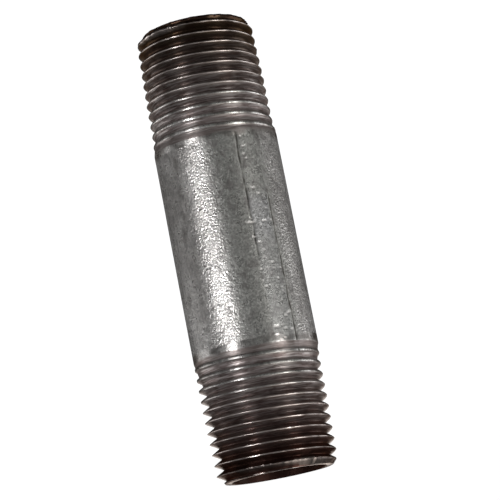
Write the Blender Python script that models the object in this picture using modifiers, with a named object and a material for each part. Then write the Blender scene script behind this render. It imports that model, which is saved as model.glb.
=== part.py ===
"""Threaded pipe nipple: a short length of 1/2 in galvanised steel pipe with a tapered thread on each end.

Run with: blender --background --python part.py
Metres, +Z up. The pipe stands on end: its axis is Z and its lower end face lies on z = 0.
"""
import math

import bmesh
import bpy
from mathutils import Matrix

MM = 0.001
INCH = 25.4 * MM

# Pipe: nominal 1/2 in, schedule 40
OUTER_RADIUS = 0.840 * INCH / 2
WALL = 2.77 * MM
LENGTH = 77.8 * MM                     # nominal 3 in, at the long end of the usual cutting tolerance
BORE_RADIUS = OUTER_RADIUS - WALL
BORE_CHAMFER = 0.25 * MM

# Tapered pipe thread, 1/2-14, cut alike on both ends
PITCH = INCH / 14
THREAD_HAND = -1                       # -1 is a left-hand helix, +1 a right-hand one
FLANK_ANGLE = math.radians(30)         # of each flank, from square to the axis
RADIUS_TAPER = 1 / 32                  # 1 in 16 on the diameter
END_PITCH_RADIUS = 0.75843 * INCH / 2  # pitch line's radius at the end face
CREST_FLAT = 0.060 * PITCH
ROOT_FLAT = 0.038 * PITCH
TRACE_LENGTH = 20.8 * MM               # the groove's floor comes out through the pipe's surface here
RUN_OUT_ANGLE = math.radians(12)       # the die's chamfer, which cuts the rising floor before the trace
END_FACE_RADIUS = 9.05 * MM            # the end is chamfered down to this radius, below the root's start
CREST_ON_FRONT = {"lower": 1.39 * MM, "upper": 1.05 * MM}   # first crest's distance from its end, on -Y

# Zinc coat on the plain barrel
COAT_THICKNESS = 0.10 * MM
COAT_CLEARANCE = 0.05 * MM             # between the coat and the steel, all round and at both shoulders
SHOULDER_HEIGHT = TRACE_LENGTH + 0.65 * MM

FACETS = 40                            # a multiple of 4, so that the round shapes fill their boxes
FRONT_TURN = 0.75                      # share of a turn from +X round to -Y
SPARE_TURNS = 4                        # of the groove's sweep, beyond the thread itself
GROOVE_HEADROOM = 1.0 * MM             # how far the groove's section reaches above the crests
CREST_OVERRUN = 0.25                   # how far its flanks run past a crest, in crest flats
FLOOR_ROUNDS = 6                       # of the search for the floor's edges, which settles tenfold a round
CUT_WELD = 0.002 * MM
SMOOTH_ANGLE = math.radians(25)

SHARP_DEPTH = PITCH / (2 * math.tan(FLANK_ANGLE))
END_CREST_RADIUS = END_PITCH_RADIUS + SHARP_DEPTH / 2 - CREST_FLAT / (2 * math.tan(FLANK_ANGLE))
END_ROOT_RADIUS = END_PITCH_RADIUS - SHARP_DEPTH / 2 + ROOT_FLAT / (2 * math.tan(FLANK_ANGLE))
THREAD_DEPTH = END_CREST_RADIUS - END_ROOT_RADIUS

STEEL = ((0.060, 0.043, 0.034), 0.36, 1.0)       # colour, roughness, metallic
ZINC = ((0.330, 0.330, 0.315), 0.45, 1.0)


def clear_scene():
    for item in list(bpy.data.objects):
        bpy.data.objects.remove(item, do_unlink=True)


def new_collection(name):
    collection = bpy.data.collections.new(name)
    bpy.context.scene.collection.children.link(collection)
    return collection


def principled(name, finish):
    colour, roughness, metallic = finish
    material = bpy.data.materials.new(name)
    material.use_nodes = True
    shader = material.node_tree.nodes["Principled BSDF"]
    shader.inputs["Base Color"].default_value = (*colour, 1.0)
    shader.inputs["Roughness"].default_value = roughness
    shader.inputs["Metallic"].default_value = metallic
    return material


def profile_object(name, points, collection):
    """A closed outline of (radius, height) points, standing in the XZ plane on the +X side."""
    mesh = bpy.data.meshes.new(name)
    edges = [(i, (i + 1) % len(points)) for i in range(len(points))]
    mesh.from_pydata([(radius, 0.0, height) for radius, height in points], edges, [])
    item = bpy.data.objects.new(name, mesh)
    collection.objects.link(item)
    return item


def bake_modifiers(item):
    """Give the object its evaluated shape as a plain mesh."""
    evaluated = item.evaluated_get(bpy.context.evaluated_depsgraph_get())
    mesh = bpy.data.meshes.new_from_object(evaluated)
    mesh.name = item.name
    outline = item.data
    item.modifiers.clear()
    item.data = mesh
    bpy.data.meshes.remove(outline)


def turned_solid(name, points, collection):
    """Turn an outline about Z. Its outer side is listed from the top down."""
    item = profile_object(name, points, collection)
    screw = item.modifiers.new("Turn", "SCREW")
    screw.axis = "Z"
    screw.angle = math.tau
    screw.screw_offset = 0.0
    screw.steps = FACETS
    screw.render_steps = FACETS
    screw.use_merge_vertices = True
    screw.merge_threshold = 1e-6
    screw.use_normal_calculate = False
    return item


def crest_radius(from_end):
    return min(OUTER_RADIUS, END_CREST_RADIUS + RADIUS_TAPER * from_end)


def root_radius(from_end):
    """The full thread's root follows the taper. Past the trace the whole groove climbs off the pipe."""
    past_trace = max(0.0, from_end - TRACE_LENGTH)
    return END_ROOT_RADIUS + RADIUS_TAPER * from_end + math.tan(RUN_OUT_ANGLE) * past_trace


def floor_lift(from_end):
    """How far the die's chamfer has lifted the groove's floor off the full thread's root."""
    from_end = min(from_end, TRACE_LENGTH)
    chamfer = OUTER_RADIUS - math.tan(RUN_OUT_ANGLE) * (TRACE_LENGTH - from_end)
    return max(0.0, chamfer - root_radius(from_end))


def end_outline():
    """Outer side of one end, as (radius, distance from the end face), from the face inwards."""
    chamfer = (END_CREST_RADIUS - END_FACE_RADIUS) / (1 - RADIUS_TAPER)
    full_size = (OUTER_RADIUS - END_CREST_RADIUS) / RADIUS_TAPER
    steel_radius = OUTER_RADIUS - COAT_THICKNESS - COAT_CLEARANCE
    return [
        (END_FACE_RADIUS, 0.0),
        (crest_radius(chamfer), chamfer),
        (OUTER_RADIUS, full_size),
        (OUTER_RADIUS, SHOULDER_HEIGHT),
        (steel_radius, SHOULDER_HEIGHT),
    ]


def pipe_blank(collection):
    """The pipe before threading: coned and chamfered ends, a barrel relieved for the coat, an open bore."""
    outer = [(radius, LENGTH - depth) for radius, depth in end_outline()]
    outer += [(radius, depth) for radius, depth in reversed(end_outline())]
    bore = [
        (BORE_RADIUS + BORE_CHAMFER, 0.0),
        (BORE_RADIUS, BORE_CHAMFER),
        (BORE_RADIUS, LENGTH - BORE_CHAMFER),
        (BORE_RADIUS + BORE_CHAMFER, LENGTH),
    ]
    return turned_solid("steel_pipe", outer + bore, collection)


def floor_edge(middle, side):
    """Where the floor meets one flank, as (height above the root, distance from the groove's middle)."""
    along = side * ROOT_FLAT / 2
    for _ in range(FLOOR_ROUNDS):
        lift = floor_lift(middle + along)
        along = side * (ROOT_FLAT / 2 + lift * math.tan(FLANK_ANGLE))
    return lift, along


def groove_section(middle):
    """Section of the cut between two crests, as (radius, height), where its middle is at this height.

    The flanks run a little past the crests, and straight walls carry the cutter on outside the pipe.
    """
    mouth_height = THREAD_DEPTH + CREST_OVERRUN * CREST_FLAT / math.tan(FLANK_ANGLE)
    mouth = ROOT_FLAT / 2 + mouth_height * math.tan(FLANK_ANGLE)
    top = THREAD_DEPTH + GROOVE_HEADROOM
    outline = [
        (top, mouth),
        (mouth_height, mouth),
        floor_edge(middle, 1),
        floor_edge(middle, -1),
        (mouth_height, -mouth),
        (top, -mouth),
    ]
    return [(root_radius(middle + along) + above, middle + along) for above, along in outline]


def swept_solid(name, rings, collection):
    """A closed solid through a row of outlines that all have the same number of points."""
    size = len(rings[0])
    points = [point for ring in rings for point in ring]
    last = len(points) - size
    faces = [range(size), range(last, len(points))]
    for start in range(0, last, size):
        for corner in range(size):
            beside = (corner + 1) % size
            faces.append((start + corner, start + beside, start + size + beside, start + size + corner))
    mesh = bpy.data.meshes.new(name)
    mesh.from_pydata(points, [], [tuple(face) for face in faces])
    shape = bmesh.new()
    shape.from_mesh(mesh)
    bmesh.ops.recalc_face_normals(shape, faces=shape.faces)
    shape.to_mesh(mesh)
    shape.free()
    item = bpy.data.objects.new(name, mesh)
    collection.objects.link(item)
    return item


def groove_cutter(name, crest_on_front, collection):
    """The helical groove of one thread, for the end whose face lies on z = 0.

    The sweep starts on +X and runs on past the thread at both ends: below the end face, and out
    through the pipe's surface. A crest lies half a pitch from the groove's middle.
    """
    turns = math.ceil(TRACE_LENGTH / PITCH) + SPARE_TURNS
    first_turn = 1 - SPARE_TURNS if THREAD_HAND > 0 else turns + 1 - SPARE_TURNS
    start = crest_on_front + PITCH * (first_turn + 1 / 2 - FRONT_TURN * THREAD_HAND)
    rings = []
    for step in range(turns * FACETS + 1):
        section = groove_section(start + THREAD_HAND * PITCH * step / FACETS)
        angle = math.tau * step / FACETS
        across, away = math.cos(angle), math.sin(angle)
        rings.append([(radius * across, radius * away, height) for radius, height in section])
    cutter = swept_solid(name, rings, collection)
    cutter.hide_render = True
    cutter.display_type = "WIRE"
    return cutter


def cut(item, cutter):
    boolean = item.modifiers.new(cutter.name, "BOOLEAN")
    boolean.operation = "DIFFERENCE"
    boolean.solver = "EXACT"
    boolean.object = cutter


def weld_cut_edges(item):
    """Join the points a thousandth of a millimetre apart where groove and blank share a facet's edge."""
    weld = item.modifiers.new("Weld", "WELD")
    weld.merge_threshold = CUT_WELD


def zinc_coat(collection):
    """The sleeve of zinc left on the barrel between the two threads."""
    low = SHOULDER_HEIGHT + COAT_CLEARANCE
    high = LENGTH - low
    inner = OUTER_RADIUS - COAT_THICKNESS
    outline = [(OUTER_RADIUS, high), (OUTER_RADIUS, low), (inner, low), (inner, high)]
    return turned_solid("zinc_coat", outline, collection)


def finish(item, material):
    bake_modifiers(item)
    item.data.materials.clear()
    item.data.materials.append(material)
    item.data.shade_smooth()
    item.data.set_sharp_from_angle(angle=SMOOTH_ANGLE)


def main():
    clear_scene()
    parts = new_collection("pipe_nipple")
    cutters = new_collection("cutters")

    pipe = pipe_blank(parts)
    lower_groove = groove_cutter("lower_thread_groove", CREST_ON_FRONT["lower"], cutters)
    upper_groove = groove_cutter("upper_thread_groove", CREST_ON_FRONT["upper"], cutters)
    # Turned end for end about Y, which keeps the helix's hand and keeps -Y where it is
    upper_groove.data.transform(Matrix.Translation((0, 0, LENGTH)) @ Matrix.Rotation(math.pi, 4, "Y"))
    cut(pipe, lower_groove)
    cut(pipe, upper_groove)
    weld_cut_edges(pipe)
    finish(pipe, principled("bare_steel", STEEL))
    finish(zinc_coat(parts), principled("zinc", ZINC))


main()
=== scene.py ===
"""Looks of the threaded pipe nipple: cut steel threads and a galvanised barrel, in a pale studio.

Metres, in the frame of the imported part: the pipe stands on z = 0 and its axis is Z.
A place on the pipe is given by its side angle, measured from -Y towards -X, and its height.
"""
import math
from collections import namedtuple

import bpy
import numpy as np
from mathutils import Matrix, Vector


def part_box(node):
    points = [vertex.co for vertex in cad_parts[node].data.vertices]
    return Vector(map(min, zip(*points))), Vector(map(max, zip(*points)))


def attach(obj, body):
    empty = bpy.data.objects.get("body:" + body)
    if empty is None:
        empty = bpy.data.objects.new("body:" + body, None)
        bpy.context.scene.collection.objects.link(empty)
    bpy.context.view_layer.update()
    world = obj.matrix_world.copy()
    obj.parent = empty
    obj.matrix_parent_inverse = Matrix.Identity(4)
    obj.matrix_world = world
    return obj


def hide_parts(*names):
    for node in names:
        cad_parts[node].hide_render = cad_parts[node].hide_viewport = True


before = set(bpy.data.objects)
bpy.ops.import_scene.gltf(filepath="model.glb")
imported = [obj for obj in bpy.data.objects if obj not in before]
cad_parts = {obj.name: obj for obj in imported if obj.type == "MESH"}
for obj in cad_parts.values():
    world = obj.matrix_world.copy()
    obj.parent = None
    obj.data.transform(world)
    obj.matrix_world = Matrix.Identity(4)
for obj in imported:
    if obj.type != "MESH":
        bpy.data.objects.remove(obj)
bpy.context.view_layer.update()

MM = 0.001
INCH = 25.4 * MM

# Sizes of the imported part
PIPE_LOW, PIPE_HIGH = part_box("steel_pipe")
LENGTH = PIPE_HIGH.z - PIPE_LOW.z
OUTER_RADIUS = PIPE_HIGH.x
WALL = 2.77 * MM
BORE_RADIUS = OUTER_RADIUS - WALL
BORE_CHAMFER = 0.25 * MM

# Tapered pipe thread, as the part is cut
PITCH = INCH / 14
THREAD_HAND = -1
FLANK_ANGLE = math.radians(30)
RADIUS_TAPER = 1 / 32
END_PITCH_RADIUS = 0.75843 * INCH / 2
CREST_FLAT = 0.060 * PITCH
ROOT_FLAT = 0.038 * PITCH
TRACE_LENGTH = 20.8 * MM       # the groove's last trace on the pipe's surface
RUN_OUT_ANGLE = math.radians(12)
END_FACE_RADIUS = 9.05 * MM
CREST_ON_FRONT = {"lower": 1.39 * MM, "upper": 1.05 * MM}

SHARP_DEPTH = PITCH / (2 * math.tan(FLANK_ANGLE))
END_CREST_RADIUS = END_PITCH_RADIUS + SHARP_DEPTH / 2 - CREST_FLAT / (2 * math.tan(FLANK_ANGLE))
END_ROOT_RADIUS = END_PITCH_RADIUS - SHARP_DEPTH / 2 + ROOT_FLAT / (2 * math.tan(FLANK_ANGLE))

# Meshes
PIPE_COLUMNS = 256
COAT_COLUMNS = 400
COAT_ROW = 0.2 * MM
COAT_THICKNESS = 0.20 * MM
BORE_ROW = 1.6 * MM
EDGE_ROUNDING = 0.03 * MM
SHOULDER = 0.11 * MM           # width of the strip beside a crest that shares its wear
SPARE_GROOVES = 3              # rows made beyond each end of a thread, which are then clipped off
JOIN = 21.8 * MM               # distance from an end where the pipe's skin gives way to the coat's
TUCK_LENGTH = 0.35 * MM        # how far each skin goes on past the join, under the other one
TUCK_DEPTH = 0.14 * MM
SEAM = 0.02 * MM               # width of the level strip before a tuck, which keeps the shading level too

# Relief of the zinc, measured down from the pipe's full size
ZINC_LEVEL = 0.028 * MM
WAVE_DEPTH = 0.012 * MM
RUN_DEPTH = 0.003 * MM
GRAIN_DEPTH = 0.004 * MM
PIT_DEPTH = 0.012 * MM
NICK_DEPTH = 0.05 * MM

# Wear and marks of the threads
TEAR_DEPTH = 0.05 * MM
CHIP_DEPTH = 0.12 * MM
RUBBED_DEPTH = 0.20 * MM       # taken off the crests on the rubbed sides
SHARP_ROUNDING = 0.02 * MM
RUBBED_ROUNDING = 0.26 * MM    # more, on the rubbed sides
LONG_CHATTER = 0.016 * MM
SHORT_CHATTER = 0.012 * MM
SKIN_START = 10 * MM           # distance from an end where the crests begin to keep their zinc
SKIN_RAMP = 5 * MM
RAGGED_EDGE = {"lower": 0.22 * MM, "upper": 0.12 * MM}      # how uneven the edge of the end's chamfer is
LAST_SCRAPE = {"lower": 0.10 * MM, "upper": -0.25 * MM}     # where the zinc begins, from the last trace
WORN_WIDTH = 0.30 * MM         # how much wider the lower end's first crest is worn towards +X
BLACK_STRETCH_LENGTH = 3.2 * MM       # of the black stretch at the upper end
SEED = {"lower": 100, "upper": 200}                         # each random field adds its own number to it

# Bore
BEAD_ANGLE = math.radians(31)
BEAD_HEIGHT = 0.30 * MM
BEAD_WIDTH = 0.7 * MM
SCALE_DEPTH = 0.05 * MM
PATCH_ANGLE = math.radians(-126)    # a lighter patch inside the upper mouth

# Camera: it looks along +Y and down, and it is turned so that the pipe's upper end is at the picture's foot
CAMERA_AIM = Vector((-2.36, 0, 39.57)) * MM
CAMERA_DISTANCE = 355.3 * MM
CAMERA_ELEVATION = math.radians(10.475)
CAMERA_ROLL = math.radians(168.9)
CAMERA_LENS = 150.77

# Studio
ROOM_LIGHT = 0.42              # radiance of the room round the object
CEILING_LIGHT = 0.06           # radiance of the ceiling
WALL_TOP, CEILING_START = 0.15, 0.60    # heights of the directions between which one turns into the other
BACKGROUND_LEVEL = 1.00        # radiance of the pale backdrop, as the camera sees it
FLOOR_GLOW = 1.00              # radiance of the floor, as the camera sees it
FLOOR_RADIUS = 6.0
FLOOR_GAP = 0.02 * MM          # below the lower end face
WHITE = (1, 1, 1)

# Lamps: name, side angle and elevation in degrees, distance, size, power, colour
LAMPS = [
    ("key", -39, 3, 0.60, (0.10, 0.34), 2.3, WHITE),
    ("fill", 50, 20, 0.80, (0.25, 0.50), 2.3, (1.0, 0.98, 0.95)),
    ("right", 105, 10, 0.80, (0.60, 0.60), 2.0, WHITE),
    ("left", -110, 4, 0.80, (0.60, 0.60), 1.8, WHITE),
    ("back", 180, 14, 0.80, (0.35, 0.60), 1.3, WHITE),
    ("over_right", 60, 58, 0.60, (0.45, 0.45), 1.0, (1.0, 0.95, 0.88)),
]

# Colours of the zinc
ZINC_GREY = (0.64, 0.618, 0.602, 1)
ZINC_PALE = (0.88, 0.858, 0.838, 1)
ZINC_PATINA = (0.725, 0.746, 0.709, 1)
ZINC_BLOTCH = (0.31, 0.295, 0.288, 1)
ZINC_DARK_SPECK = (0.29, 0.285, 0.277, 1)
ZINC_PALE_SPECK = (0.96, 0.94, 0.92, 1)
ZINC_PIT = (0.13, 0.127, 0.122, 1)
ZINC_STREAK = (0.84, 0.82, 0.80, 1)
ZINC_SCRAPED = (0.70, 0.705, 0.74, 1)
ZINC_DIRT = (0.16, 0.142, 0.132, 1)
ZINC_PAINTED_SHADE = (0.20, 0.195, 0.190, 1)
ZINC_SCORE = (0.022, 0.018, 0.015, 1)
ZINC_BARE = (0.82, 0.80, 0.78, 1)

# Colours of the steel
OIL_LOWER = (0.084, 0.060, 0.038, 1)
OIL_UPPER = (0.118, 0.064, 0.052, 1)
CUT_STEEL = (0.315, 0.272, 0.267, 1)
STEEL_STAIN = (0.058, 0.031, 0.025, 1)
STEEL_RING = (0.56, 0.53, 0.52, 1)
STEEL_GRIME_AND_SHADE = (0.024, 0.011, 0.009, 1)
STEEL_LIT_FACE_AND_PATCH = (0.22, 0.22, 0.21, 1)
STEEL_TRACE = (0.17, 0.150, 0.142, 1)
STEEL_BARE_AND_HIGHLIGHT = (0.76, 0.69, 0.66, 1)
STEEL_TINT = (0.45, 0.38, 0.33, 1)      # of its reflections at a grazing angle

ZINC_MASKS = ["bare_and_highlight", "line", "dirt", "scraped", "patina", "smooth"]
STEEL_MASKS = ZINC_MASKS + ["zinc", "deep", "inward", "lit_face_and_patch", "trace"]


# ---------------------------------------------------------------- relief

def ease(share):
    share = np.clip(share, 0, 1)
    return share * share * (3 - 2 * share)


def rough(around, height, cell_around, cell_height, seed):
    """Smooth random values from -1 to 1, which close on themselves round the pipe."""
    cells = max(3, round(math.tau * OUTER_RADIUS / cell_around))
    rows = int(LENGTH / cell_height) + 3
    table = np.random.default_rng(seed).uniform(-1, 1, (rows, cells))
    column = around / math.tau % 1 * cells
    row = np.clip(height / cell_height, 0, rows - 1.001)
    left, below = column.astype(int), row.astype(int)
    across, up = ease(column - left), ease(row - below)
    right = (left + 1) % cells
    left = left % cells
    low = table[below, left] * (1 - across) + table[below, right] * across
    high = table[below + 1, left] * (1 - across) + table[below + 1, right] * across
    return low * (1 - up) + high * up


def rough_along(height, cell_height, seed):
    """Smooth random values from -1 to 1 that are the same all round the pipe."""
    return rough(np.zeros_like(height), height, math.tau * OUTER_RADIUS, cell_height, seed)


Score = namedtuple("Score", "angle start end width depth")
Nick = namedtuple("Nick", "angle height length tall")
Stain = namedtuple("Stain", "angle height tall")

# Score lines beside the weld seam
SCORES = [
    Score(math.radians(20.0), 20.4 * MM, 43.5 * MM, 0.72 * MM, 0.060 * MM),
    Score(math.radians(41.8), 30.5 * MM, 60.6 * MM, 0.60 * MM, 0.075 * MM),
]
SCORE_WAVER = 0.12 * MM
SCORE_FADE = 1.2 * MM
# Single nicks, whose length runs round the pipe
NICKS = [
    Nick(math.radians(24.6), 22.1 * MM, 0.5 * MM, 0.35 * MM),
    Nick(math.radians(25.6), 23.8 * MM, 0.8 * MM, 0.25 * MM),
    Nick(math.radians(24.4), 25.2 * MM, 0.4 * MM, 0.35 * MM),
    Nick(math.radians(26.0), 26.0 * MM, 0.4 * MM, 0.2 * MM),
    Nick(math.radians(18.5), 36.9 * MM, 1.9 * MM, 0.34 * MM),
    Nick(math.radians(31.0), 36.8 * MM, 0.8 * MM, 0.15 * MM),
    Nick(math.radians(-25.5), 54.3 * MM, 1.8 * MM, 0.14 * MM),
    Nick(math.radians(-28.0), 46.6 * MM, 1.9 * MM, 0.14 * MM),
    Nick(math.radians(22.5), 54.7 * MM, 0.7 * MM, 0.3 * MM),
    Nick(math.radians(29.0), 58.5 * MM, 3.4 * MM, 0.22 * MM),
    Nick(math.radians(24.0), 59.1 * MM, 1.6 * MM, 0.3 * MM),
]
# Dark stains, taller than they are wide
STAINS = [
    Stain(math.radians(-41), 24.4 * MM, 1.1 * MM),
    Stain(math.radians(-43), 28.6 * MM, 1.2 * MM),
    Stain(math.radians(-44), 33.4 * MM, 0.8 * MM),
    Stain(math.radians(-48), 36.2 * MM, 1.4 * MM),
    Stain(math.radians(-60), 47.0 * MM, 1.5 * MM),
]
STAIN_WIDTH = 0.6              # as a share of its height
STRIP_NICKS = 60
STRIP_ANGLES = (math.radians(19), math.radians(40))
STRIP_HEIGHTS = (31 * MM, 58 * MM)
STRIP_END = 60 * MM
STRIP_BRIGHT_END = 41 * MM


def score_mask(around, height, score):
    """How deep in a score line each point is, from 0 to 1. The line wavers and breaks off in places."""
    seed = int(score.angle * 1e4)
    waver = SCORE_WAVER * rough_along(height, 2.5 * MM, seed)
    across = np.abs(OUTER_RADIUS * (around - score.angle) + waver)
    strength = 0.95 + 0.42 * rough_along(height, 0.9 * MM, seed + 1)
    fade = ease((height - score.start) / SCORE_FADE) * ease((score.end - height) / SCORE_FADE)
    return ease(1 - across / (score.width / 2)) * np.clip(strength, 0, 1) * fade


def all_nicks():
    """The single nicks, and small random ones in the scraped strip between the two score lines."""
    draw = np.random.default_rng(7)
    nicks = list(NICKS)
    for _ in range(STRIP_NICKS):
        angle = draw.uniform(*STRIP_ANGLES)
        height = draw.uniform(*STRIP_HEIGHTS)
        nicks.append(Nick(angle, height, draw.uniform(0.2, 0.9) * MM, draw.uniform(0.10, 0.2) * MM))
    return nicks


def nick_mask(around, height):
    """Where the nicks are, from 0 to 1."""
    mask = np.zeros_like(height)
    for nick in all_nicks():
        across = OUTER_RADIUS * (around - nick.angle) / (nick.length / 2)
        along = (height - nick.height) / (nick.tall / 2)
        near = (np.abs(across) < 1.5) & (np.abs(along) < 1.5)
        mask[near] = np.maximum(mask[near], ease(1.4 - np.hypot(across[near], along[near])))
    return mask


def scraped_strip(around, height):
    """The lighter strip that a die scraped between the two score lines, lightest at its lower end."""
    inside = ease((around - STRIP_ANGLES[0]) / 0.03) * ease((STRIP_ANGLES[1] - around) / 0.03)
    strip = inside * ease((height - STRIP_HEIGHTS[0]) / (3 * MM)) * ease((STRIP_END - height) / MM)
    return strip * (0.45 + 0.55 * ease((STRIP_BRIGHT_END - height) / (3 * MM)))


def stain_mask(around, height):
    """How dark the stains are, from 0 to 1, with ragged edges."""
    mask = np.zeros_like(height)
    ragged = 0.35 * rough(around, height, 0.8 * MM, 1.0 * MM, 16)
    for stain in STAINS:
        across = OUTER_RADIUS * (around - stain.angle) / (STAIN_WIDTH * stain.tall)
        along = (height - stain.height) / stain.tall
        mask = np.maximum(mask, ease(1.3 - np.hypot(across, along) + ragged))
    return mask


def thread_dirt(around, height):
    """The broken ring of dirt on the zinc beside each thread, from 0 to 1."""
    from_trace = np.minimum(height, LENGTH - height) - TRACE_LENGTH
    broken = ease(0.45 + rough(around, height, 1.5 * MM, 0.7 * MM, 15))
    return ease(1 - (from_trace - 0.4 * MM) / (1.5 * MM)) * broken


def zinc_marks(around, height):
    """The masks that the zinc skin shares between the barrel and the threads' last crests.

    The greenish patina covers the side round the weld seam. The zinc is smoother there and towards
    +X than on the rest of the barrel.
    """
    patina = ease((around + 0.28) / 0.3) * ease((0.95 - around) / 0.3)
    dull_side = ease((-0.60 - around) / 0.15) * ease((around + 1.5) / 0.3)
    return {
        "line": np.maximum(*[score_mask(around, height, score) for score in SCORES]),
        "dirt": np.maximum(thread_dirt(around, height), 0.75 * stain_mask(around, height)),
        "bare_and_highlight": 0.95 * nick_mask(around, height),
        "scraped": scraped_strip(around, height),
        "patina": patina,
        "smooth": np.maximum(0.75 * patina, 0.60 * dull_side),
    }


def zinc_relief(around, height, marks):
    """How far the zinc skin lies below the pipe's full size, in metres. It is never above it."""
    waves = WAVE_DEPTH * rough(around, height, 4 * MM, 7 * MM, 11)
    runs = RUN_DEPTH * rough(around, height, 0.8 * MM, 9 * MM, 12)
    grain = GRAIN_DEPTH * rough(around, height, 0.42 * MM, 0.42 * MM, 13)
    pits = PIT_DEPTH * ease((rough(around, height, 0.5 * MM, 0.6 * MM, 14) - 0.45) / 0.5)
    depth = ZINC_LEVEL + waves + runs + grain + pits * (1 - 0.6 * marks["scraped"])
    for score in SCORES:
        depth = depth + score.depth * score_mask(around, height, score)
    return np.maximum(depth + NICK_DEPTH * marks["bare_and_highlight"], 0)


# ---------------------------------------------------------------- thread form

def thread_lead(end):
    """Which way a crest moves from its end as the side angle grows."""
    return -THREAD_HAND if end == "lower" else THREAD_HAND


def height_of(end, from_end):
    return from_end if end == "lower" else LENGTH - from_end


def crest_radius(from_end):
    return np.minimum(OUTER_RADIUS, END_CREST_RADIUS + RADIUS_TAPER * from_end)


def cone_root(from_end):
    return END_ROOT_RADIUS + RADIUS_TAPER * from_end


def groove_floor(from_end):
    """The die's chamfer lifts the groove's floor towards the barrel, and leaves its flanks where they are."""
    lifted = OUTER_RADIUS - math.tan(RUN_OUT_ANGLE) * (TRACE_LENGTH - from_end)
    return np.maximum(cone_root(from_end), lifted)


def half_mouth(from_end):
    """Half the groove's width where its flanks meet the crests."""
    return ROOT_FLAT / 2 + (crest_radius(from_end) - cone_root(from_end)) * math.tan(FLANK_ANGLE)


def rubbed_side(end, around):
    """How far the crests are rubbed round, from 0 to 1: one side of the upper thread, two of the lower."""
    facing = np.maximum(np.sin(around), 0) if end == "upper" else np.abs(np.sin(around))
    return ease((facing - 0.55) / 0.4)


def groove_rows(middle, rubbed):
    """Distances from the end of the rows across one groove and half the crest on each side of it."""
    middle_in = np.clip(middle, 0, TRACE_LENGTH)
    mouth = half_mouth(middle_in)
    crest = PITCH / 2 - mouth
    depth = crest_radius(middle_in) - groove_floor(middle_in)
    flank = np.maximum(depth, 0.2 * MM) * math.tan(FLANK_ANGLE)
    wide_floor = ease((mouth - flank - 0.1 * MM) / (0.2 * MM))
    rounding = EDGE_ROUNDING * (1 + 2 * rubbed)
    up = [
        mouth + np.minimum(EDGE_ROUNDING, 0.5 * crest),
        mouth - np.minimum(rounding, 0.2 * flank),
        mouth - np.minimum(SHOULDER * (1 + 1.6 * rubbed), 0.45 * flank),
        mouth - (0.7 + 0.3 * wide_floor) * flank,
        (mouth - flank) * (1 - 0.5 * wide_floor),
    ]
    # Past the trace there is no groove, and the rows are evenly spaced
    plain = ease((middle - TRACE_LENGTH - 0.7 * MM) / (0.4 * MM))
    rows = len(up) + 1
    up = [step + plain * ((rows - 1 - i) / rows * PITCH / 2 - step) for i, step in enumerate(up)]
    zero = np.zeros_like(middle)
    steps = [zero - PITCH / 2] + [-step for step in up] + [zero] + list(reversed(up))
    return [middle + step for step in steps]


def front_half(around):
    """1 on the half of the pipe round -Y, fading to 0 on the other half."""
    return ease((np.cos(around) + 0.1) / 0.5)


def face_light_and_shade(around):
    """Painted light and shade on the upper end face: lightest round -Y and towards -X, painted dark on the
    other side.
    """
    scraped = 0.25 + 0.75 * ease((around + 0.35) / 0.9)
    return front_half(around) * scraped * (1 - 0.35 * ease((around - 0.6) / 0.5))


def from_nearest_crest(end, around, from_end):
    """Distance along the axis from the middle of the nearest crest."""
    turn = (from_end - CREST_ON_FRONT[end]) / PITCH - thread_lead(end) * around / math.tau
    return np.abs(turn - np.round(turn)) * PITCH


def zinc_share(from_end):
    """How much of the zinc skin the crests keep: none near the end, all of it near the barrel."""
    return ease((from_end - SKIN_START) / SKIN_RAMP)


def crest_surface(end, around, from_end, marks):
    """Radius of the crests: torn here and there near the end, with zinc near the barrel."""
    height = height_of(end, from_end)
    tear = ease((rough(around, height, 0.9 * MM, 0.6 * PITCH, SEED[end]) - 0.25) / 0.7)
    chip = ease((rough(around, height, 1.7 * MM, 0.5 * PITCH, SEED[end] + 1) - 0.6) / 0.3)
    torn = TEAR_DEPTH * tear + CHIP_DEPTH * chip
    skin = zinc_share(from_end)
    return crest_radius(from_end) - torn * (1 - skin) - zinc_relief(around, height, marks) * skin


def groove_surface(end, around, from_end):
    """Radius of the flanks and floor, with die marks that run along the groove."""
    height = height_of(end, from_end)
    from_groove = PITCH / 2 - from_nearest_crest(end, around, from_end)
    chatter = LONG_CHATTER * rough(around, height, 2.6 * MM, 0.17 * MM, SEED[end] + 2)
    chatter = chatter + SHORT_CHATTER * rough(around, height, 0.7 * MM, 0.3 * MM, SEED[end] + 3)
    mouth_slope = np.maximum(from_groove - ROOT_FLAT / 2, 0) / math.tan(FLANK_ANGLE)
    groove = np.maximum(cone_root(from_end) + mouth_slope, groove_floor(from_end)) + chatter
    return groove + MM * ease((from_end - TRACE_LENGTH) / (0.5 * MM))


def thread_radius(end, around, from_end, marks):
    """Radius of the threaded skin, how far it lies below its crests, and where the end's chamfer cuts it."""
    rubbed = rubbed_side(end, around) * ease((TRACE_LENGTH - from_end) / (3 * MM))
    crest = crest_surface(end, around, from_end, marks) - RUBBED_DEPTH * rubbed
    groove = groove_surface(end, around, from_end)
    # A smooth minimum of the two surfaces, which rounds the crests' edges
    rounding = SHARP_ROUNDING + RUBBED_ROUNDING * rubbed
    gap = (groove - crest) / rounding
    radius = crest - rounding * np.log1p(np.exp(-np.clip(gap, -40, 40)))
    radius = np.where(gap < -40, groove, radius)

    uneven = rough(around, height_of(end, from_end), 0.7 * MM, MM, SEED[end] + 4)
    chamfer = END_FACE_RADIUS + from_end + RAGGED_EDGE[end] * uneven
    chamfered = chamfer < radius
    radius = np.minimum(radius, np.maximum(chamfer, END_FACE_RADIUS))
    radius = np.minimum(radius, OUTER_RADIUS)
    return radius, crest - radius, chamfered


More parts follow.
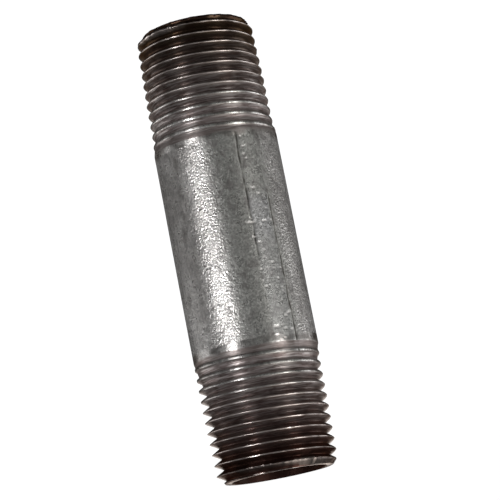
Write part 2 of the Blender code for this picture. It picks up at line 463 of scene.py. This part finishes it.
def crest_mask(end, around, from_end):
    """Where the crests are, from 0 to 1. The first one of the lower thread is worn wide on one side."""
    half_crest = PITCH / 2 - half_mouth(from_end)
    worn = ease(-around / 0.5) * ease((2.4 * MM - from_end) / MM) if end == "lower" else 0.0
    edge = 0.09 * MM + WORN_WIDTH * worn
    return ease(1 - (from_nearest_crest(end, around, from_end) - half_crest) / edge)


def zinc_mask(end, around, from_end):
    """Where zinc is left on the threaded skin: past the last scrape, and on the crests near it."""
    uneven = 0.15 * MM * rough(around, height_of(end, from_end), 1.3 * MM, 40 * MM, SEED[end] + 6)
    scraped_end = TRACE_LENGTH + LAST_SCRAPE[end] + uneven
    on_crest = crest_mask(end, around, from_end)
    return np.maximum(ease((from_end - scraped_end) / (0.15 * MM)), zinc_share(from_end) * on_crest)


def trace_mask(from_end, radius):
    """The last shallow turns of the groove, from 0 to 1."""
    shallow = ease(1.4 - (OUTER_RADIUS - radius) / (0.4 * MM))
    return ease((from_end - TRACE_LENGTH + 4 * MM) / (3 * MM)) * shallow


def bare_and_highlight_mask(end, around, from_end, chamfered, nicks):
    """Bright metal worn clean on the crests and in the nicks, and a painted highlight on the upper end face
    round -Y.
    """
    flicker = 0.72 + 0.5 * rough(around, height_of(end, from_end), 1.1 * MM, 0.7 * PITCH, SEED[end] + 5)
    on_crest = crest_mask(end, around, from_end)
    bare_and_highlight = on_crest * np.clip(flicker, 0.1, 1) * (1 - zinc_share(from_end))
    bare_and_highlight = np.maximum(bare_and_highlight, nicks)
    if end == "lower":
        return np.where(chamfered & (from_end > 0), 0.10 * bare_and_highlight, bare_and_highlight)
    bare_and_highlight = bare_and_highlight * (0.4 + 0.6 * ease((from_end - 1.5 * MM) / (2 * MM)))
    # Painted highlight: the upper end face is painted bright on its half round -Y.
    return np.where(from_end <= 0, 0.75 * front_half(around) * np.clip(flicker, 0, 1), bare_and_highlight)


def grime_and_shade_mask(end, around, from_end, below_crest, chamfered):
    """Painted shade and grime: painted shade down in the grooves, the deeper the darker, and on the upper
    chamfer's half away from -Y; black towards the upper end and on the lower chamfer.

    Values above 1 also make the surface rougher.
    """
    # Painted shade: the deeper below the crest, the darker the groove.
    deep = 0.6 * np.clip(below_crest / (1.4 * MM), 0, 1)
    if end == "lower":
        return np.where(chamfered, 1.25, deep)
    ragged = 0.9 + 0.5 * rough(around, height_of(end, from_end), 1.2 * MM, 0.8 * MM, SEED[end] + 7)
    deep = np.maximum(deep, ease((BLACK_STRETCH_LENGTH - from_end) / (0.9 * MM)) * ragged)
    # Painted shade on the upper chamfer, darkest on its half away from -Y.
    return np.where(chamfered, 1.2 * (1 - face_light_and_shade(around)), deep)


def thread_surface(end, around, from_end):
    """Radius of the threaded skin, and its masks, at points given by side angle and distance from the end."""
    marks = zinc_marks(around, height_of(end, from_end))
    radius, below_crest, chamfered = thread_radius(end, around, from_end, marks)
    zinc = zinc_mask(end, around, from_end)
    trace = trace_mask(from_end, radius)
    nicks = marks["bare_and_highlight"] * np.maximum(zinc, trace)
    masks = {
        "bare_and_highlight": bare_and_highlight_mask(end, around, from_end, chamfered, nicks),
        "zinc": zinc,
        "line": marks["line"] * zinc,
        "dirt": marks["dirt"],
        "trace": trace,
        "scraped": marks["scraped"] * zinc,
        "patina": marks["patina"],
        "smooth": marks["smooth"],
        "deep": grime_and_shade_mask(end, around, from_end, below_crest, chamfered),
        "inward": np.clip(from_end / TRACE_LENGTH, 0, 1),
        # Painted light: the upper chamfer is lighter on its half round -Y.
        "lit_face_and_patch": np.where(chamfered & (end == "upper"), face_light_and_shade(around), 0.0),
    }
    return radius, masks


# ---------------------------------------------------------------- mesh building

class Skin:
    """Points, faces and masks of one piece, put together from rings and grids of points."""

    def __init__(self, mask_names):
        self.points = []
        self.faces = []
        self.masks = {name: [] for name in mask_names}
        self.count = 0

    def add(self, around, radius, height, masks):
        """Add points and return their numbers, in the shape that the arrays have."""
        around, radius, height = np.broadcast_arrays(around, radius, height)
        x, y = -radius * np.sin(around), -radius * np.cos(around)
        self.points.append(np.stack([x, y, height], axis=-1).reshape(-1, 3))
        for name, values in self.masks.items():
            values.append(np.broadcast_to(masks.get(name, 0.0), around.shape).ravel())
        numbers = np.arange(self.count, self.count + around.size).reshape(around.shape)
        self.count += around.size
        return numbers

    def grid(self, numbers, shift=0):
        """Faces between neighbouring rows. The last column joins on to the first one, shift rows on."""
        rows = len(numbers)
        beyond = np.clip(np.arange(rows) + shift, 0, rows - 1)
        wide = np.hstack([numbers, numbers[beyond, :1]])
        quads = np.stack([wide[:-1, :-1], wide[1:, :-1], wide[1:, 1:], wide[:-1, 1:]], axis=-1)
        for quad in quads.reshape(-1, 4).tolist():
            corners = list(dict.fromkeys(quad))
            if len(corners) > 2:
                self.faces.append(corners)

    def piece(self, name, material):
        """Make the object, without the points that no face uses."""
        mesh = bpy.data.meshes.new(name)
        points = np.concatenate(self.points)
        used = np.unique(np.concatenate([np.array(face) for face in self.faces]))
        renumber = np.full(len(points), -1)
        renumber[used] = np.arange(len(used))
        faces = [[int(renumber[corner]) for corner in face] for face in self.faces]
        mesh.from_pydata(points[used].tolist(), [], faces)
        for mask, values in self.masks.items():
            layer = mesh.attributes.new(mask, "FLOAT", "POINT")
            layer.data.foreach_set("value", np.concatenate(values)[used].astype(np.float32))
        mesh.validate()
        mesh.shade_smooth()
        mesh.materials.append(material)
        item = bpy.data.objects.new(name, mesh)
        bpy.context.scene.collection.objects.link(item)
        return item


def all_round(columns):
    """Side angles of the columns of points, from one side of +Y round to the other."""
    return (np.arange(columns) / columns - 0.5) * math.tau


def threaded_end(skin, end, around):
    """The skin of one thread, from the end face to the coat. Returns its first and last ring of points."""
    lead = thread_lead(end)
    first = CREST_ON_FRONT[end] + lead * PITCH * around / math.tau
    inner_end = JOIN - SEAM
    grooves = range(-SPARE_GROOVES, math.ceil(inner_end / PITCH) + SPARE_GROOVES)
    rubbed = rubbed_side(end, around)
    rows = [row for groove in grooves for row in groove_rows(first + (groove + 0.5) * PITCH, rubbed)]
    rows_per_turn = len(rows) // len(grooves)
    from_end = np.clip(np.array(rows), 0, inner_end)
    angle = np.broadcast_to(around, from_end.shape)
    radius, masks = thread_surface(end, angle, from_end)
    numbers = skin.add(angle, radius, height_of(end, from_end), masks)
    # The clipped rows share the points of the first ring or of the last one
    start = numbers[0].copy()
    finish = numbers[-1].copy()
    numbers = np.where(from_end <= 0, start, numbers)
    numbers = np.where(from_end >= inner_end, finish, numbers)
    tuck = tucked_rings(skin, end, around, finish)
    if end == "lower":
        skin.grid(numbers, lead * rows_per_turn)
        skin.grid(tuck)
    else:
        skin.grid(numbers[::-1], -lead * rows_per_turn)
        skin.grid(tuck[::-1])
    return start, tuck[-1]


def tucked_rings(skin, end, around, last_ring):
    """The threaded skin's last two rings: one level with the barrel at the join, one under its coat."""
    rings = [last_ring]
    for from_end, dip in ((JOIN, 0.0), (JOIN + TUCK_LENGTH, TUCK_DEPTH)):
        along = np.full_like(around, from_end)
        radius, masks = thread_surface(end, around, along)
        rings.append(skin.add(around, radius - dip, height_of(end, along), masks))
    return np.array(rings)


def bore_wall(angle, tall):
    """Radius of the bore's wall: drawn scale, and the low weld bead that wavers down it."""
    bead_place = BEAD_ANGLE + 0.02 * rough_along(tall, 6 * MM, 41)
    bead = BEAD_HEIGHT * np.exp(-((angle - bead_place) * BORE_RADIUS / BEAD_WIDTH) ** 2)
    scale = SCALE_DEPTH * rough(angle, tall, 1.6 * MM, 3 * MM, 42)
    return BORE_RADIUS - bead - np.abs(scale)


def bore_skin(skin, around):
    """The bore from the upper end down: chamfer, wall, chamfer. Returns its rings."""
    heights = np.linspace(LENGTH - BORE_CHAMFER, BORE_CHAMFER, round(LENGTH / BORE_ROW))[:, None]
    angle = np.broadcast_to(around, (len(heights), len(around)))
    tall = np.broadcast_to(heights, angle.shape)
    from_patch = np.hypot((angle - PATCH_ANGLE) / 0.22, (LENGTH - tall) / (5 * MM))
    # Painted shade: the bore's wall and its chamfer rings are painted dark.
    wall_masks = {"deep": 1.1, "inward": 0.1, "lit_face_and_patch": 0.12 * ease(1.2 - from_patch)}
    # Painted highlight on the bore's upper chamfer ring, on its half round -Y.
    ring_highlight = front_half(around) * (0.75 + 0.6 * rough(around, np.zeros_like(around), 1.2 * MM, MM, 43))
    top_masks = {"deep": 1.0, "bare_and_highlight": 0.75 * np.clip(ring_highlight, 0, 1)}
    top = skin.add(around, BORE_RADIUS + BORE_CHAMFER, LENGTH, top_masks)
    wall = skin.add(angle, bore_wall(angle, tall), tall, wall_masks)
    foot = skin.add(around, BORE_RADIUS + BORE_CHAMFER, 0.0, {"deep": 1.0})
    return np.vstack([top, wall, foot])


def steel_pipe(material):
    """The whole steel pipe: both threads, the relieved barrel under the coat, end faces and bore."""
    skin = Skin(STEEL_MASKS)
    around = all_round(PIPE_COLUMNS)
    lower_start, lower_finish = threaded_end(skin, "lower", around)
    upper_start, upper_finish = threaded_end(skin, "upper", around)
    skin.grid(np.vstack([lower_finish, upper_finish]))
    bore = bore_skin(skin, around)
    skin.grid(np.vstack([upper_start, bore, lower_start]))
    return skin.piece("threaded_pipe", material)


def barrel_coat(material):
    """The zinc skin on the barrel, closed by an inner face just above the steel."""
    skin = Skin(ZINC_MASKS)
    around = all_round(COAT_COLUMNS)
    low = JOIN - TUCK_LENGTH
    high = LENGTH - low
    middle = np.linspace(JOIN + SEAM, LENGTH - JOIN - SEAM, round((high - low) / COAT_ROW))
    heights = np.concatenate([[low, JOIN], middle, [LENGTH - JOIN, high]])[:, None]
    angle = np.broadcast_to(around, (len(heights), len(around)))
    tall = np.broadcast_to(heights, angle.shape)
    marks = zinc_marks(angle, tall)
    tuck = TUCK_DEPTH * np.clip(1 - np.minimum(tall - low, high - tall) / TUCK_LENGTH, 0, 1)
    outside = skin.add(angle, OUTER_RADIUS - zinc_relief(angle, tall, marks) - tuck, tall, marks)
    inner = OUTER_RADIUS - COAT_THICKNESS
    foot = skin.add(around, inner, low, {})
    head = skin.add(around, inner, high, {})
    skin.grid(np.vstack([foot, outside, head, foot]))
    return skin.piece("barrel_coat", material)


# ---------------------------------------------------------------- materials

class Graph:
    """Short calls that build the nodes of one material."""

    def __init__(self, name):
        self.material = bpy.data.materials.new(name)
        self.material.use_nodes = True
        self.tree = self.material.node_tree
        self.shader = self.tree.nodes["Principled BSDF"]
        self.place = self.tree.nodes.new("ShaderNodeTexCoord").outputs["Object"]

    def node(self, kind, inputs, **settings):
        made = self.tree.nodes.new("ShaderNode" + kind)
        for name, value in settings.items():
            setattr(made, name, value)
        for socket, value in inputs.items():
            self.join(value, made.inputs[socket])
        return made

    def join(self, value, socket):
        if isinstance(value, bpy.types.NodeSocket):
            self.tree.links.new(value, socket)
        else:
            socket.default_value = value

    def mask(self, name, strength=1.0):
        """One of the mesh's masks, as strong as asked for."""
        value = self.node("Attribute", {}, attribute_name=name).outputs["Fac"]
        return value if strength == 1.0 else self.math("MULTIPLY", value, strength)

    def height(self):
        return self.node("SeparateXYZ", {0: self.place}).outputs[2]

    def noise(self, cell, stretch=(1, 1, 1), detail=2.0, warp=0.0):
        """Noise whose features are about one cell across, or stretch times that along each axis."""
        scale = [1 / (cell * along) for along in stretch]
        place = self.node("Mapping", {"Vector": self.place, "Scale": scale}).outputs[0]
        inputs = {"Vector": place, "Scale": 1.0, "Detail": detail, "Distortion": warp}
        return self.node("TexNoise", inputs).outputs[0]

    def spread(self, value, low, high, to_low=0.0, to_high=1.0):
        inputs = {"Value": value, "From Min": low, "From Max": high, "To Min": to_low, "To Max": to_high}
        return self.node("MapRange", inputs).outputs[0]

    def math(self, operation, first, second):
        return self.node("Math", {0: first, 1: second}, operation=operation).outputs[0]

    def colour(self, share, first, second):
        return self.node("Mix", {0: share, 6: first, 7: second}, data_type="RGBA").outputs[2]

    def number(self, share, first, second):
        return self.node("Mix", {0: share, 2: first, 3: second}, data_type="FLOAT").outputs[0]

    def finish(self, colour, roughness, metallic, height, distance):
        bump = self.node("Bump", {"Height": height, "Distance": distance}).outputs[0]
        self.join(colour, self.shader.inputs["Base Color"])
        self.join(roughness, self.shader.inputs["Roughness"])
        self.join(bump, self.shader.inputs["Normal"])
        self.join(metallic, self.shader.inputs["Metallic"])
        return self.material


def zinc_finish(graph):
    """Galvanised skin: mottled grey, fine grain, drawn streaks, scuffs, dirt in the score lines, and painted
    shade towards the upper end.
    """
    patches = graph.noise(5 * MM, (1, 1, 2.2), detail=3, warp=0.6)
    blotches = graph.noise(1.3 * MM, (1, 1, 1.5), detail=4, warp=0.6)
    speckle = graph.noise(0.38 * MM, (1, 1, 1.1), detail=1)
    streaks = graph.noise(0.5 * MM, (1, 1, 9), detail=2)
    dimples = graph.noise(0.28 * MM, (1, 1, 1.1), detail=1)
    dimples = graph.number(graph.mask("smooth"), dimples, 0.5)
    pits = graph.spread(graph.noise(0.30 * MM, detail=1), 0.36, 0.52, 1.0, 0.0)
    # Painted shade: the zinc is painted darker towards the upper end, to even out the brighter highlight
    # there.
    upper_painted_shade = graph.spread(graph.height(), 0.30 * LENGTH, 0.75 * LENGTH, 0.0, 0.26)

    tone = graph.colour(graph.spread(patches, 0.42, 0.58), ZINC_GREY, ZINC_PALE)
    layers = [
        (graph.mask("patina", 0.8), ZINC_PATINA),
        (graph.spread(blotches, 0.50, 0.66, 0.0, 0.85), ZINC_BLOTCH),
        (graph.spread(speckle, 0.50, 0.66, 0.0, 0.42), ZINC_DARK_SPECK),
        (graph.spread(speckle, 0.48, 0.34, 0.0, 0.15), ZINC_PALE_SPECK),
        (graph.math("MULTIPLY", pits, 0.34), ZINC_PIT),
        (graph.spread(streaks, 0.52, 0.70, 0.0, 0.22), ZINC_STREAK),
        (graph.mask("scraped", 0.50), ZINC_SCRAPED),
        (graph.mask("dirt", 0.6), ZINC_DIRT),
        (upper_painted_shade, ZINC_PAINTED_SHADE),
        (graph.mask("line"), ZINC_SCORE),
        (graph.mask("bare_and_highlight"), ZINC_BARE),
    ]
    for share, colour in layers:
        tone = graph.colour(share, tone, colour)

    roughness = graph.spread(blotches, 0.38, 0.62, 0.26, 0.34)
    for share, level in ((pits, 0.48), (graph.mask("line"), 0.7), (graph.mask("bare_and_highlight"), 0.5)):
        roughness = graph.number(share, roughness, level)
    return tone, roughness, dimples


def zinc_material():
    graph = Graph("galvanised_zinc")
    tone, roughness, height = zinc_finish(graph)
    return graph.finish(tone, roughness, 1.0, height, 0.080 * MM)


def turned_gloss(graph):
    """Turning marks run round the pipe, so reflections are drawn out along its axis."""
    graph.shader.inputs["Specular IOR Level"].default_value = 0.25
    graph.shader.inputs["Specular Tint"].default_value = STEEL_TINT
    graph.shader.inputs["Anisotropic"].default_value = 0.75
    graph.shader.inputs["Anisotropic Rotation"].default_value = 0.25
    turned = graph.node("Tangent", {}, direction_type="RADIAL", axis="Z").outputs[0]
    graph.join(turned, graph.shader.inputs["Tangent"])


def steel_material():
    """Cut steel, oily and brown towards the ends, with burnished crests and zinc on the last ones."""
    graph = Graph("cut_steel")
    turned_gloss(graph)
    zinc_tone, zinc_roughness, zinc_height = zinc_finish(graph)
    stain = graph.noise(2.4 * MM, (1, 1, 0.6), detail=3, warp=0.8)
    ring_marks = graph.noise(0.15 * MM, (24, 24, 1), detail=2)
    fine = graph.noise(0.25 * MM, (5, 5, 1), detail=2)
    inward = graph.spread(graph.mask("inward"), 0.13, 0.80)
    rings = graph.math("MULTIPLY", graph.spread(ring_marks, 0.50, 0.62, 0.0, 0.80), inward)

    tone = graph.colour(graph.spread(graph.height(), 0.25 * LENGTH, 0.75 * LENGTH), OIL_LOWER, OIL_UPPER)
    layers = [
        (inward, CUT_STEEL),
        (graph.spread(stain, 0.40, 0.65, 0.0, 0.60), STEEL_STAIN),
        (rings, STEEL_RING),
        # Painted shade in the grooves, the bore and the upper chamfer's far half; black towards the upper end
        # and on the lower chamfer.
        (graph.mask("deep", 0.80), STEEL_GRIME_AND_SHADE),
        # Painted light on the upper chamfer round -Y, and the lighter patch inside the upper mouth.
        (graph.mask("lit_face_and_patch", 0.50), STEEL_LIT_FACE_AND_PATCH),
        (graph.mask("trace", 0.50), STEEL_TRACE),
        (graph.mask("zinc"), zinc_tone),
        # Worn crests and nicks, and the painted highlight on the upper end face.
        (graph.mask("bare_and_highlight"), STEEL_BARE_AND_HIGHLIGHT),
    ]
    for share, colour in layers:
        tone = graph.colour(share, tone, colour)

    roughness = graph.number(inward, graph.spread(fine, 0.3, 0.7, 0.28, 0.36), 0.42)
    roughness = graph.number(graph.mask("bare_and_highlight"), roughness, 0.34)
    roughness = graph.number(graph.mask("zinc"), roughness, zinc_roughness)
    roughness = graph.number(graph.spread(graph.mask("deep"), 0.9, 1.1), roughness, 0.6)
    height = graph.number(0.5, ring_marks, fine)
    height = graph.number(graph.mask("zinc"), height, zinc_height)
    metal = graph.math("MAXIMUM", graph.mask("zinc"), graph.mask("bare_and_highlight"))
    metallic = graph.number(metal, graph.spread(inward, 0.0, 1.0, 0.90, 0.72), 1.0)
    return graph.finish(tone, roughness, metallic, height, 0.022 * MM)


def floor_material():
    """A pale sheet that glows white to the camera only, so its glow doesn't show in the metal."""
    graph = Graph("pale_floor")
    graph.shader.inputs["Base Color"].default_value = (0.14, 0.14, 0.14, 1)
    graph.shader.inputs["Roughness"].default_value = 0.8
    graph.shader.inputs["Specular IOR Level"].default_value = 0.0
    graph.shader.inputs["Emission Color"].default_value = (1, 1, 1, 1)
    seen = graph.node("LightPath", {}).outputs["Is Camera Ray"]
    graph.join(graph.math("MULTIPLY", seen, FLOOR_GLOW), graph.shader.inputs["Emission Strength"])
    return graph.material


# ---------------------------------------------------------------- studio

def add_floor(material):
    place = (0, 0, -FLOOR_GAP)
    bpy.ops.mesh.primitive_circle_add(vertices=96, radius=FLOOR_RADIUS, fill_type="NGON", location=place)
    floor = bpy.context.object
    floor.name = "studio_floor"
    floor.data.materials.append(material)


def add_light(name, side, elevation, distance, size, power, colour):
    """A soft box that faces the middle of the pipe. side is its side angle in degrees."""
    data = bpy.data.lights.new(name, "AREA")
    data.shape = "RECTANGLE"
    data.size, data.size_y = size
    data.energy = power
    data.color = colour
    lamp = bpy.data.objects.new(name, data)
    bpy.context.scene.collection.objects.link(lamp)
    turn, rise = math.radians(side), math.radians(elevation)
    towards = Vector((-math.sin(turn) * math.cos(rise), -math.cos(turn) * math.cos(rise), math.sin(rise)))
    middle = Vector((0, 0, LENGTH / 2))
    lamp.location = middle + distance * towards
    lamp.rotation_euler = (-towards).to_track_quat("-Z", "Y").to_euler()
    lamp.visible_camera = False


def add_room():
    """The world: a pale backdrop to the camera, and to everything else a grey room with a dark ceiling."""
    world = bpy.data.worlds.new("pale_room")
    world.use_nodes = True
    nodes, links = world.node_tree.nodes, world.node_tree.links
    direction = nodes.new("ShaderNodeSeparateXYZ")
    links.new(nodes.new("ShaderNodeTexCoord").outputs["Generated"], direction.inputs[0])
    room = nodes.new("ShaderNodeMapRange")
    room.inputs["From Min"].default_value = WALL_TOP
    room.inputs["From Max"].default_value = CEILING_START
    room.inputs["To Min"].default_value = ROOM_LIGHT
    room.inputs["To Max"].default_value = CEILING_LIGHT
    links.new(direction.outputs["Z"], room.inputs["Value"])
    seen = nodes.new("ShaderNodeMapRange")
    seen.inputs["To Max"].default_value = BACKGROUND_LEVEL
    links.new(nodes.new("ShaderNodeLightPath").outputs["Is Camera Ray"], seen.inputs["Value"])
    links.new(room.outputs[0], seen.inputs["To Min"])
    links.new(seen.outputs[0], nodes["Background"].inputs["Strength"])
    nodes["Background"].inputs["Color"].default_value = (1, 1, 1, 1)
    bpy.context.scene.world = world


def add_studio():
    bpy.context.scene.view_settings.view_transform = "Standard"
    add_room()
    add_floor(floor_material())
    for lamp in LAMPS:
        add_light(*lamp)


def add_camera():
    data = bpy.data.cameras.new("camera")
    data.lens = CAMERA_LENS
    camera = bpy.data.objects.new("camera", data)
    bpy.context.scene.collection.objects.link(camera)
    tilt = Matrix.Rotation(math.pi / 2 - CAMERA_ELEVATION, 4, "X")
    turned = tilt @ Matrix.Rotation(CAMERA_ROLL, 4, "Z")
    backwards = tilt @ Vector((0, 0, 1))
    camera.matrix_world = Matrix.Translation(CAMERA_AIM + CAMERA_DISTANCE * backwards) @ turned
    bpy.context.scene.camera = camera


def main():
    pipe = steel_pipe(steel_material())
    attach(pipe, "root")
    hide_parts("steel_pipe")
    coat = barrel_coat(zinc_material())
    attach(coat, "root")
    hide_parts("zinc_coat")
    add_studio()
    add_camera()


main()
